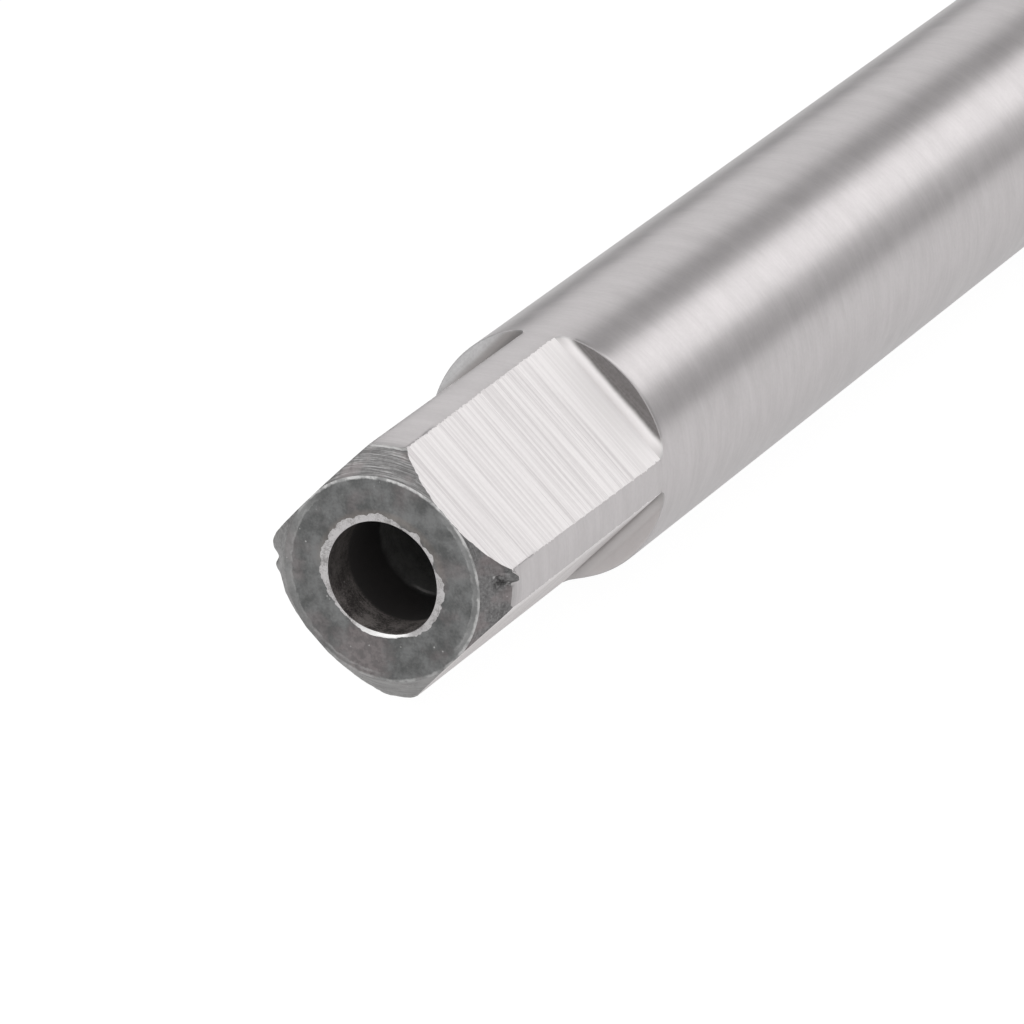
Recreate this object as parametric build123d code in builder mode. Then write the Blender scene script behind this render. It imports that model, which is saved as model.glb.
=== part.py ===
"""A four-flute machine tap with a plain reduced shank and a driving square, lying on its lands."""
import os
from math import asin, cos, degrees, radians, sin, sqrt, tan

from build123d import *

# Overall sizes, in millimetres. The tap lies along Y, with its driving square towards -Y.
overall_length = 72.0
shank_diameter = 6.3

# Driving square and the turned end face
square_across_flats = 5.0
square_length = 8.5
square_root_fillet = 0.25
square_turn = 45.0
end_chamfer_width = 0.62
end_chamfer_length = 0.47

# Centre hole in the square's end face
centre_hole_diameter = 2.8
centre_hole_depth = 5.0
centre_hole_lip = 0.2
centre_hole_lip_depth = 0.12
drill_point_angle = 118.0

# Cutting end
thread_diameter = 7.94
thread_length = 22.0
thread_pitch = 0.794
groove_depth = 0.487
groove_root_width = 0.1
groove_angle = 60.0
thread_back_chamfer = 0.8
lead_length = 4.0
lead_end_diameter = 6.4
point_length = 1.6
point_base_diameter = 3.4
point_tip_diameter = 0.8

# Straight flutes
flute_count = 4
land_width = 2.2
core_diameter = 3.7
rake_angle = 8.0
flute_bottom_radius = 1.1
flute_full_depth_length = 24.0
flute_cutter_radius = 30.0
cutter_margin = 2.0
groove_mouth_margin = 0.03

# Worked out from the sizes above
shank_radius = shank_diameter / 2
thread_radius = thread_diameter / 2
core_radius = core_diameter / 2
land_angle = 2 * degrees(asin(land_width / thread_diameter))
half_flute_angle = (360 / flute_count - land_angle) / 2
axis_height = thread_radius * cos(radians(half_flute_angle))
thread_end = overall_length - point_length
thread_start = thread_end - thread_length
drill_point_length = centre_hole_diameter / 2 / tan(radians(drill_point_angle / 2))
groove_count = int(thread_length / thread_pitch)
groove_root_radius = thread_radius - groove_depth

tap_axis = Axis((0, 0, axis_height), (0, 1, 0))


def across(distance: float) -> Plane:
    """The plane across the tap's axis, this far from the square's end face."""
    origin = (0, distance - overall_length / 2, axis_height)
    return Plane(origin=origin, x_dir=(1, 0, 0), z_dir=(0, 1, 0))


# Plane through the axis: local x runs from the end face towards the point, local y is the radius.
lengthwise = Plane(origin=(0, -overall_length / 2, axis_height), x_dir=(0, 1, 0), z_dir=(1, 0, 0))

# One flute's outline, with its middle on the local y axis and its cutting face on the right
leading_edge = Vector(sin(radians(half_flute_angle)), cos(radians(half_flute_angle))) * thread_radius
trailing_edge = Vector(-leading_edge.X, leading_edge.Y)
face_lean = radians(half_flute_angle - rake_angle)
face_direction = Vector(-sin(face_lean), -cos(face_lean))
face_normal = Vector(-cos(face_lean), sin(face_lean))
bottom_centre_y = core_radius + flute_bottom_radius
bottom_centre_x = leading_edge.X - (
    flute_bottom_radius - (bottom_centre_y - leading_edge.Y) * sin(face_lean)
) / cos(face_lean)
face_foot = Vector(bottom_centre_x, bottom_centre_y) - face_normal * flute_bottom_radius
flute_bottom = Vector(bottom_centre_x, core_radius)
mouth_height = thread_radius + cutter_margin
mouth_at_face = leading_edge - face_direction * ((mouth_height - leading_edge.Y) / cos(face_lean))
mouth_at_heel = Vector(trailing_edge.X * mouth_height / trailing_edge.Y, mouth_height)

# One groove of the thread, with its root on the local x axis and its mouth clear of the land
groove_cut_height = groove_depth + groove_mouth_margin
groove_half_mouth = groove_root_width / 2 + groove_cut_height * tan(radians(groove_angle / 2))
groove_outline = [
    (-groove_root_width / 2, 0),
    (groove_root_width / 2, 0),
    (groove_half_mouth, groove_cut_height),
    (-groove_half_mouth, groove_cut_height),
]

# The flute's path leaves the body along the milling cutter's radius.
runout_rise = mouth_height - core_radius
runout_length = sqrt(flute_cutter_radius**2 - (flute_cutter_radius - runout_rise) ** 2)
flute_start = overall_length + cutter_margin
flute_runout_start = thread_end - flute_full_depth_length

with BuildPart() as machine_tap:
    # Turned body: end chamfer, shank, back of the thread, lead and male centre point
    with BuildSketch(lengthwise):
        with BuildLine():
            Polyline(
                (0, 0),
                (0, shank_radius - end_chamfer_width),
                (end_chamfer_length, shank_radius),
                (thread_start, shank_radius),
                (thread_start + thread_back_chamfer, thread_radius),
                (thread_end - lead_length, thread_radius),
                (thread_end, lead_end_diameter / 2),
                (thread_end, point_base_diameter / 2),
                (overall_length, point_tip_diameter / 2),
                (overall_length, 0),
                close=True,
            )
        make_face()
    revolve(axis=tap_axis)

    # Driving square: four flats milled into the shank, with a small radius at each shoulder
    with BuildSketch(across(0)):
        Circle(shank_radius + cutter_margin)
        Rectangle(square_across_flats, square_across_flats, rotation=square_turn, mode=Mode.SUBTRACT)
    extrude(amount=square_length, mode=Mode.SUBTRACT)
    shoulder_y = square_length - overall_length / 2
    shoulder_roots = machine_tap.edges().filter_by(GeomType.LINE).filter_by_position(
        Axis.Y, shoulder_y, shoulder_y
    )
    fillet(shoulder_roots, radius=square_root_fillet)

    # Centre hole with a broken lip and the drill's cone at its bottom
    with BuildSketch(lengthwise):
        with BuildLine():
            Polyline(
                (0, 0),
                (0, centre_hole_diameter / 2 + centre_hole_lip),
                (centre_hole_lip_depth, centre_hole_diameter / 2),
                (centre_hole_depth, centre_hole_diameter / 2),
                (centre_hole_depth + drill_point_length, 0),
                close=True,
            )
        make_face()
    revolve(axis=tap_axis, mode=Mode.SUBTRACT)

    # Thread: each land's teeth stand a step further along than the last one's, as the helix asks
    tooth_step = thread_pitch / flute_count
    for land_index in range(flute_count):
        land_start_angle = 180 + land_index * 360 / flute_count
        with BuildSketch(lengthwise.rotated((0, land_start_angle, 0))):
            for groove_index in range(groove_count):
                groove_place = thread_start + groove_index * thread_pitch + land_index * tooth_step
                with Locations((groove_place, groove_root_radius)):
                    Polygon(*groove_outline, align=None)
        revolve(axis=tap_axis, revolution_arc=360 / flute_count, mode=Mode.SUBTRACT)

    # Flutes: the first one faces down, so that the tap rests on the two lands beside it
    for flute_index in range(flute_count):
        flute_angle = flute_index * 360 / flute_count
        with BuildLine(lengthwise.rotated((0, 180 + flute_angle, 0))):
            run = Line((flute_start, 0), (flute_runout_start, 0))
            TangentArc(
                run @ 1,
                (flute_runout_start - runout_length, runout_rise),
                tangent=run % 1,
            )
        with BuildSketch(across(flute_start).rotated((0, flute_angle, 0))):
            with BuildLine():
                Line(mouth_at_face, face_foot)
                TangentArc(face_foot, flute_bottom, tangent=face_direction)
                TangentArc(flute_bottom, trailing_edge, tangent=(-1, 0))
                Polyline(trailing_edge, mouth_at_heel, mouth_at_face)
            make_face()
        sweep(mode=Mode.SUBTRACT)

machine_tap.part.label = "machine_tap"
os.makedirs("parts", exist_ok=True)
export_step(machine_tap.part, "parts/machine_tap.step")
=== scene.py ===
"""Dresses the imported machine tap: driving square, shank, flutes and thread, in plain studio light."""
import logging
import math
from collections.abc import Callable, Sequence
from dataclasses import dataclass, field
from enum import Enum

import bmesh
import bpy
import numpy as np
from mathutils import Matrix, Vector
from mathutils.geometry import tessellate_polygon


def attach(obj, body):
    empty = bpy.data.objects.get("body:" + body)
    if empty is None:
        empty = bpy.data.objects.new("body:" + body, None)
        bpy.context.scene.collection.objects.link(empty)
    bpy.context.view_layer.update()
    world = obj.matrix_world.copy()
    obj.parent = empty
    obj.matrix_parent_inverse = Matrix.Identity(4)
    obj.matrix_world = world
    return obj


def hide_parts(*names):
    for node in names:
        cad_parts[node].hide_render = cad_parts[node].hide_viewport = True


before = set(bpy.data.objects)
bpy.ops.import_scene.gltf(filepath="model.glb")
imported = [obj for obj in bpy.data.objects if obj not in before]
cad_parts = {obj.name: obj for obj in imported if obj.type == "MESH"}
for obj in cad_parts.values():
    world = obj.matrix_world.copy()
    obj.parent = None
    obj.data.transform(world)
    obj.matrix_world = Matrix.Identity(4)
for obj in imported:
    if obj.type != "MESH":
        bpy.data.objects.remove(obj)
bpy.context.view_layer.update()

log = logging.getLogger("machine_tap")

MM = 0.001
OVERALL_LENGTH = 72.0
AXIS_HEIGHT = 3.4751217
QUARTER = math.pi / 2
TURN = 2 * math.pi
SQUARE_LENGTH = 8.5
# The milling cutter's lines: how close they are and how much they drift
CUTTER_LINES = (9.0, 0.12)
# Distances from the axis, square to a flat, between which its long corner turns over
FLAT_CORNER = (2.492, 2.502)

Array = np.ndarray
Pair = tuple[float, float]
Point = tuple[float, float, float]
Shade = tuple[float, float, float, float]
# The number of faces across a land and across a flute
Columns = tuple[int, int]


class Surface(Enum):
    """The finishes on the tap, in the order of its material slots."""

    GROUND_SHANK = 0
    MILLED_FLAT = 1
    END_FACE = 2
    TURNED_CHAMFER = 3
    BROKEN_LIP = 4
    DRILLED_HOLE = 5
    SHOULDER = 6
    FLUTE = 7
    THREAD = 8
    TURNED_POINT = 9


# One finish for a row of faces, or the number of one for each face
Coating = Surface | Array


def polar(radius: Array | float, angle: Array, along: Array | float) -> Array:
    """Rows of x, along and z for points round the axis, at angles from +X towards +Z."""
    return rows(radius * np.cos(angle), along, radius * np.sin(angle))


def rows(*columns: Array | float) -> Array:
    """Columns set side by side, one row for each point."""
    return np.stack(np.broadcast_arrays(*columns), axis=1)


def bell(away: Array) -> Array:
    """A smooth hump, 1 at zero and fading to both sides."""
    return np.exp(-(away**2))


def ring_places(angles: Array) -> Array:
    """Places round a ring from 0 to 1, from rising angles."""
    return (angles - angles[0]) / TURN


def soft_least(first: Array, second: Array | float, width: float) -> Array:
    """The smaller of two lengths, rounded over this width where they meet."""
    return second - width * np.logaddexp(0, -(first - second) / width)


class Skin:
    """Closed rings of points, sewn one to the next into a single skin."""

    def __init__(self) -> None:
        """Starts with no ring."""
        self.points: list[Array] = []
        self.faces: list[tuple[int, ...]] = []
        self.surfaces: list[int] = []
        self.last: Array = np.zeros(0, dtype=int)
        self.size = 0

    def lay(self, points: Array) -> Array:
        """Adds loose points and gives their numbers.

        Args:
            points: One row for each point.

        Returns:
            The points' numbers in the skin.
        """
        numbers = np.arange(self.size, self.size + len(points))
        self.points.append(points)
        self.size += len(points)
        return numbers

    def tip(self, point: Point) -> None:
        """Starts the skin at one point."""
        self.last = self.lay(np.array([point]))

    def add(self, points: Array, surface: Coating) -> None:
        """Sews a ring to the last one, with as many points as it has, or from or to a single tip.

        Args:
            points: The ring's points.
            surface: The finish of the new faces, one for all or one for each.
        """
        ring = self.lay(points)
        last = self.last
        count = max(len(last), len(ring))
        for i in range(count):
            j = (i + 1) % count
            if len(last) == 1:
                self.face((last[0], ring[i], ring[j]), surface, i)
            elif len(ring) == 1:
                self.face((last[i], last[j], ring[0]), surface, i)
            else:
                self.face((last[i], last[j], ring[j], ring[i]), surface, i)
        self.last = ring

    def zip_to(self, points: Array, surface: Coating, last_keys: Array, keys: Array) -> None:
        """Sews a ring with another number of points to the last one.

        Args:
            points: The new ring's points.
            surface: The finish of the new faces, one for all or one for each new point.
            last_keys: Places of the last ring's points round it, from 0 to 1, rising.
            keys: The same for the new ring.
        """
        ring = self.lay(points)
        before, after = len(self.last), len(ring)
        last_keys = [*last_keys[1:], 1.0 + last_keys[0]]
        keys = [*keys[1:], 1.0 + keys[0]]
        i = j = 0
        while i < before or j < after:
            near = self.last[i % before]
            far = ring[j % after]
            if j >= after or (i < before and last_keys[i] <= keys[j] + 1e-9):
                self.face((near, self.last[(i + 1) % before], far), surface, min(j, after - 1))
                i += 1
            else:
                self.face((near, ring[(j + 1) % after], far), surface, j)
                j += 1
        self.last = ring

    def face(self, corners: tuple[int, ...], surface: Coating, column: int) -> None:
        """Adds one face."""
        self.faces.append(tuple(int(corner) for corner in corners))
        self.surfaces.append(surface.value if isinstance(surface, Surface) else int(surface[column]))

    def mesh(self, name: str, sharp_angle: float) -> bpy.types.Mesh:
        """Makes a closed mesh of the skin, in the row frame.

        Args:
            name: The mesh's name.
            sharp_angle: Edges that turn by more than this, in degrees, stay sharp.

        Returns:
            The mesh, in metres, smooth but for its sharp edges.
        """
        points = np.concatenate(self.points)
        points = (points + (0, -OVERALL_LENGTH / 2, AXIS_HEIGHT)) * MM
        mesh = bpy.data.meshes.new(name)
        mesh.from_pydata(points.tolist(), [], self.faces)
        mesh.polygons.foreach_set("material_index", self.surfaces)
        work = bmesh.new()
        work.from_mesh(mesh)
        bmesh.ops.remove_doubles(work, verts=work.verts, dist=1e-7)
        bmesh.ops.recalc_face_normals(work, faces=work.faces)
        limit = math.radians(sharp_angle)
        for piece in work.faces:
            piece.smooth = True
        for edge in work.edges:
            edge.smooth = not edge.is_manifold or edge.calc_face_angle(0) < limit
        work.to_mesh(mesh)
        work.free()
        return mesh


@dataclass(frozen=True)
class Scar:
    """A dent or a burr on the end: where it is, how far it reaches and how it moves the skin."""

    angle: float
    radius: float
    along: float
    reach: Point
    push: Point
    flatness: float = 1.0

    def mark(self, points: Array) -> Array:
        """Moves the points near the scar.

        Args:
            points: Rows of x, along and z.

        Returns:
            The same rows, pushed outwards, round and along by the scar's push.
        """
        radius = np.hypot(points[:, 0], points[:, 2])
        angle = np.arctan2(points[:, 2], points[:, 0])
        turn = (angle - math.radians(self.angle) + math.pi) % TURN - math.pi
        away = rows(radius - self.radius, radius * turn, points[:, 1] - self.along)
        strength = np.exp(-np.sum((away / np.array(self.reach)) ** 2, axis=1) ** self.flatness)
        radius = radius + strength * self.push[0]
        angle = angle + strength * self.push[1] / np.maximum(radius, 0.5)
        return polar(radius, angle, points[:, 1] + strength * self.push[2])


@dataclass
class DrivingEnd:
    """The driving square with its turned end face, chamfer, centre hole and shoulders."""

    shank_radius: float = 3.15
    flat_distance: float = 2.5
    square_length: float = SQUARE_LENGTH
    root_fillet: float = 0.25
    face_radius: float = 2.53
    chamfer_length: float = 0.545
    hole_radius: float = 1.4
    hole_depth: float = 5.0
    hole_tip: float = 5.8412
    hole_mouth_radius: float = 1.412
    lip_depth: float = 0.03
    lip_sag: float = 0.03
    lip_lean: float = 0.045
    lip_sag_angle: float = 266.0
    lip_sag_spread: float = 28.0
    lit_depth: float = 1.3
    burr_length: float = 0.36
    dense_length: float = 1.4
    edge_break: float = 0.028
    edge_wear: float = 0.01
    calm_angle: float = 228.0
    calm_spread: float = 36.0
    crumbled_angle: float = 72.0
    crumbled_spread: float = 8.0
    corner_break: float = 0.008
    corner_wear: tuple[float, float, float, float] = (0.052, 0.036, 0.03, 0.03)
    corner_chip: float = 0.13
    strip_columns: int = 24
    flat_columns: int = 104
    hole_rings: int = 7
    end_rows: tuple[int, ...] = (4, 14, 12, 3, 7, 4)
    square_rings: int = 14
    shoulder_rings: int = 8
    rim_rows: tuple[int, ...] = (7, 3)
    rim_break: float = 0.02
    wall_step: float = 0.1
    rag_seed: int = 7
    rag_waves: tuple[Pair, ...] = ((19, 0.012), (31, 0.01), (53, 0.007), (83, 0.005))
    rag_limits: Pair = (-0.035, 0.012)
    least_lip: float = 0.015
    edge_waves: tuple[Point, ...] = ((0.6, 67, 1.1), (0.5, 109, 0.0), (1.0, 31, 0.0))
    lip_widths: tuple[Pair, ...] = (
        (0, 0.21), (7, 0.19), (12, 0.1), (16, 0.03), (21, 0.05), (30, 0.14), (37, 0.1), (44, 0.07),
        (49, 0.15), (54, 0.18), (59, 0.1), (66, 0.06), (72, 0.09), (78, 0.17), (84, 0.15), (90, 0.22),
        (97, 0.2), (104, 0.16), (118, 0.18), (128, 0.22), (139, 0.21), (150, 0.18), (160, 0.22),
        (171, 0.19), (182, 0.2), (192, 0.14), (203, 0.1), (218, 0.04), (232, 0.02), (240, 0.035),
        (248, 0.065), (256, 0.055), (266, 0.035), (278, 0.03), (288, 0.035), (296, 0.05), (303, 0.13),
        (311, 0.12), (322, 0.18), (330, 0.16), (346, 0.19), (360, 0.21),
    )
    scars: tuple[Scar, ...] = (
        Scar(5.0, 2.9, 0.28, (0.12, 0.08, 0.2), (-0.04, 0.0, 0.09)),
        Scar(3.8, 2.94, 0.31, (0.07, 0.045, 0.2), (-0.02, 0.0, 0.07)),
        Scar(7.0, 2.89, 0.28, (0.1, 0.035, 0.2), (-0.02, 0.0, 0.06)),
        Scar(6.0, 3.03, 0.37, (0.06, 0.05, 0.2), (-0.03, 0.0, 0.06)),
        Scar(1.8, 2.9, 0.28, (0.09, 0.035, 0.2), (-0.02, 0.0, 0.05)),
        Scar(2.9, 3.0, 0.36, (0.05, 0.045, 0.15), (0.03, 0.0, -0.05)),
        Scar(2.4, 3.1, 0.42, (0.2, 0.07, 0.25), (-0.06, 0.0, 0.05)),
        Scar(5.9, 3.12, 0.47, (0.25, 0.11, 0.2), (0.24, 0.01, -0.05), 2.0),
        Scar(2.1, 3.16, 0.47, (0.12, 0.05, 0.12), (0.05, 0.0, -0.03)),
        Scar(-7.0, 3.2, 0.5, (0.25, 0.16, 0.35), (-0.05, 0.0, 0.02)),
        Scar(181.4, 3.15, 0.45, (0.3, 0.16, 0.36), (-0.14, 0.0, 0.04)),
        Scar(193.5, 3.12, 0.5, (0.3, 0.42, 0.4), (-0.07, 0.0, 0.03), 2.0),
    )

    def corner_radii(self, along: float) -> Array:
        """The radius of each corner's round strip, less towards the front where it is worn.

        Args:
            along: The distance from the end face.

        Returns:
            One radius for each corner, from +X on.
        """
        past = max(along, self.dense_length) - self.dense_length
        fade = 1 - past / (self.square_length - self.dense_length)
        return self.shank_radius - np.array(self.corner_wear) * max(fade, 0.0) ** 1.2

    def column_angles(self, share: int, along: float = 9.0) -> Array:
        """Angles of the columns round the square.

        Args:
            share: 1 for every column, 2 for every second one.
            along: The distance from the end face, on which the strips' widths depend.

        Returns:
            The angles, rising from one edge of the +X strip.
        """
        edges = math.pi / 4 - np.arccos(self.flat_distance / self.corner_radii(along))
        angles = []
        for corner in range(4):
            start, stop = edges[corner], QUARTER - edges[(corner + 1) % 4]
            strip = np.linspace(-start, start, self.strip_columns // share + 1)[:-1]
            flat = np.linspace(start, stop, self.flat_columns // share + 1)[:-1]
            angles.append(np.concatenate([strip, flat]) + corner * QUARTER)
        return np.concatenate(angles)

    def side_surfaces(self, share: int) -> Array:
        """The finish of each column's faces: the round strip, then the flat.

        Args:
            share: 1 for every column, 2 for every second one.

        Returns:
            The number of each finish.
        """
        quadrant = [Surface.GROUND_SHANK.value] * (self.strip_columns // share)
        quadrant += [Surface.MILLED_FLAT.value] * (self.flat_columns // share)
        return np.array(quadrant * 4)

    def flat_lean(self, angle: Array) -> Array:
        """How far each angle is from the middle of its flat."""
        return (angle % QUARTER) - QUARTER / 2

    def side_radius(self, angle: Array, along: float = 9.0) -> Array:
        """The square's radius at each angle and distance from the end face, with its edges just broken."""
        flat = self.flat_distance / np.cos(self.flat_lean(angle))
        return soft_least(flat, self.corner_radii(along)[self.nearest_corner(angle)], self.corner_break)

    def nearest_corner(self, angle: Array) -> Array:
        """The number of the corner that each angle is nearest to."""
        return np.round(angle / QUARTER).astype(int) % 4

    def lip_radius(self, angle: Array) -> Array:
        """The ragged outer edge of the broken lip.

        Args:
            angle: Angles from +X towards +Z, in radians.

        Returns:
            The lip's outer radius at each angle.
        """
        knots = np.array(self.lip_widths)
        width = np.interp(np.degrees(angle) % 360, knots[:, 0], knots[:, 1])
        rng = np.random.default_rng(self.rag_seed)
        ragged = np.zeros_like(angle)
        for waves, height in self.rag_waves:
            ragged += height * np.sin(waves * angle + rng.uniform(0, TURN))
        chips = np.clip(ragged * 1.5, *self.rag_limits) * (1 - 0.85 * self.lip_sagging(angle))
        return self.hole_mouth_radius + np.maximum(width + chips, self.least_lip)

    def lip_inner(self, angle: Array) -> Array:
        """The inner edge of the lip, pulled a little into the hole where the drill leaned.

        Args:
            angle: Angles from +X towards +Z, in radians.

        Returns:
            Its radius and its distance from the end face at each angle.
        """
        sagging = self.lip_sagging(angle)
        radius = self.hole_mouth_radius - self.lip_lean * sagging
        return rows(radius, self.lip_depth + self.lip_sag * sagging)

    def lip_sagging(self, angle: Array) -> Array:
        """How much the lip is pulled in at each angle, from 0 to 1."""
        away = (np.degrees(angle) - self.lip_sag_angle + 180) % 360 - 180
        return bell(away / self.lip_sag_spread)

    def build(self, skin: Skin) -> Array:
        """Lays the skin from the bottom of the centre hole to just past the shoulders.

        Args:
            skin: The skin to start.

        Returns:
            The angles of the last ring's points.
        """
        angle = self.column_angles(1, 0.0)
        thin = self.column_angles(4, 0.0)
        skin.tip((0, self.hole_tip, 0))
        for along in np.linspace(self.hole_depth, self.lit_depth, self.hole_rings):
            skin.add(polar(self.hole_radius, thin, along), Surface.DRILLED_HOLE)
        wall = polar(self.hole_radius, angle, self.lit_depth - self.wall_step)
        skin.zip_to(wall, Surface.DRILLED_HOLE, ring_places(thin), ring_places(angle))
        lip = self.lip_inner(angle)
        deep = self.lit_depth - 2 * self.wall_step
        for share in np.linspace(0, 1, self.hole_rings):
            radius = self.hole_radius + (lip[:, 0] - self.hole_radius) * share
            skin.add(polar(radius, angle, deep + (lip[:, 1] - deep) * share), Surface.DRILLED_HOLE)
        self.build_end(skin, angle)
        self.build_square(skin)
        return self.column_angles(2)

    def build_end(self, skin: Skin, angle: Array) -> None:
        """Lays the broken lip, the end face, the chamfer and the front of the square.

        Args:
            skin: The skin, with its last ring at the hole's mouth.
            angle: The columns' angles.
        """
        side = self.side_radius(angle, 0.0)
        face_edge = np.minimum(side, self.face_radius)
        slope = self.chamfer_length / (self.shank_radius - self.face_radius)
        waves = sum(height * np.sin(count * angle + start) for height, count, start in self.edge_waves)
        calm = bell((np.degrees(angle) - self.calm_angle) / self.calm_spread)
        crumbled = bell((np.degrees(angle) - self.crumbled_angle) / self.crumbled_spread)
        wear = self.edge_wear * (1 + waves * (1 - 0.85 * calm + 1.6 * crumbled))
        edges = np.arccos(self.flat_distance / self.corner_radii(0.0))[self.nearest_corner(angle)]
        beyond = np.degrees(np.abs(self.flat_lean(angle)) - edges)
        chip = self.corner_chip * np.exp(-np.abs(beyond) / np.where(beyond < 0, 2.5, 1.0))
        cone_edge = np.maximum(side - 0.01 - 0.5 * chip, face_edge)
        cone_end = (cone_edge - self.face_radius) * slope
        cone_end = np.maximum(cone_end, 0) + np.maximum(wear, 0)
        chamfer_end = np.maximum(side - self.face_radius, 0) * slope + np.maximum(wear, 0) + chip
        corners = [
            self.lip_inner(angle),
            rows(self.lip_radius(angle), 0.0),
            rows(face_edge, 0.0),
            rows(cone_edge, cone_end),
            rows(side, chamfer_end),
            rows(side, chamfer_end + self.burr_length),
            rows(side, self.dense_length),
        ]
        spans = [Surface.BROKEN_LIP, Surface.END_FACE, Surface.TURNED_CHAMFER, Surface.TURNED_CHAMFER]
        spans += [self.side_surfaces(1), self.side_surfaces(1)]
        for row, surface in rounded_rows(corners, self.edge_break, self.end_rows, spans):
            points = polar(row[:, 0], angle, row[:, 1])
            for scar in self.scars:
                points = scar.mark(points)
            skin.add(points, surface)

    def build_square(self, skin: Skin) -> None:
        """Lays the square's flats and strips and the shoulders at their roots.

        Args:
            skin: The skin, with its last ring a little behind the chamfer.
        """
        angle = self.column_angles(2)
        surfaces = self.side_surfaces(2)
        root_start = self.square_length - self.root_fillet
        dense_end = self.dense_length + 0.2
        places = [dense_end, *np.linspace(dense_end + 0.5, root_start, self.square_rings)]
        for place in places:
            worn = self.column_angles(2, place)
            ring = polar(self.side_radius(worn, place), worn, place)
            if place == dense_end:
                skin.zip_to(ring, surfaces, ring_places(self.column_angles(1)), ring_places(angle))
            else:
                skin.add(ring, surfaces)
        side = self.side_radius(angle)
        lean = np.cos(self.flat_lean(angle))
        room = np.maximum(self.shank_radius * lean - self.flat_distance, 0)
        rise = np.minimum(room, self.root_fillet)
        sweep = np.arccos(1 - rise / self.root_fillet)
        shoulder = np.where(surfaces == Surface.MILLED_FLAT.value, Surface.SHOULDER.value, surfaces)
        for step in np.linspace(0, 1, self.shoulder_rings)[1:]:
            turn = sweep * step
            radius = (self.flat_distance + self.root_fillet * (1 - np.cos(turn))) / lean
            along = root_start + self.root_fillet * np.sin(turn)
            radius = np.where(room > 0, np.minimum(radius, self.shank_radius), side)
            skin.add(polar(radius, angle, along), shoulder)
        edge_along = root_start + self.root_fillet * np.sin(sweep)
        foot = np.minimum((self.flat_distance + rise) / lean, self.shank_radius)
        corners = [
            rows(np.where(room > 0, foot, side), edge_along),
            rows(self.shank_radius, edge_along),
            rows(self.shank_radius, np.full_like(angle, self.square_length + 0.3)),
        ]
        spans = (shoulder, Surface.GROUND_SHANK)
        for row, surface in rounded_rows(corners, self.rim_break, self.rim_rows, spans):
            skin.add(polar(row[:, 0], angle, row[:, 1]), surface)


def rounded_rows(
    corners: list[Array],
    reach: float,
    counts: Sequence[int],
    spans: Sequence[Coating],
) -> list[tuple[Array, Coating]]:
    """Rows along a profile with its corners rounded, for every column at once.

    Args:
        corners: For each corner of the profile, one row of radius and distance for each column.
        reach: How far the rounding reaches from each inner corner.
        counts: The number of rows in each straight run.
        spans: The finish of each straight run.

    Returns:
        Each row after the first, with the finish of the faces that lead to it.
    """
    found = []
    start = corners[0]
    for index, count in enumerate(counts):
        corner = corners[index + 1]
        stop = corner
        if index + 1 < len(counts):
            back = corner - corners[index]
            ahead = corners[index + 2] - corner
            back_length = np.linalg.norm(back, axis=1, keepdims=True)
            ahead_length = np.linalg.norm(ahead, axis=1, keepdims=True)
            width = np.minimum(reach, 0.45 * np.minimum(back_length, ahead_length))
            stop = corner - back / np.maximum(back_length, 1e-9) * width
            after = corner + ahead / np.maximum(ahead_length, 1e-9) * width
        for step in range(1, count + 1):
            found.append((start + (stop - start) * step / count, spans[index]))
        if index + 1 < len(counts):
            found.append((0.25 * stop + 0.5 * corner + 0.25 * after, spans[index]))
            found.append((after, spans[index + 1]))
            start = after
    return found


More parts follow.
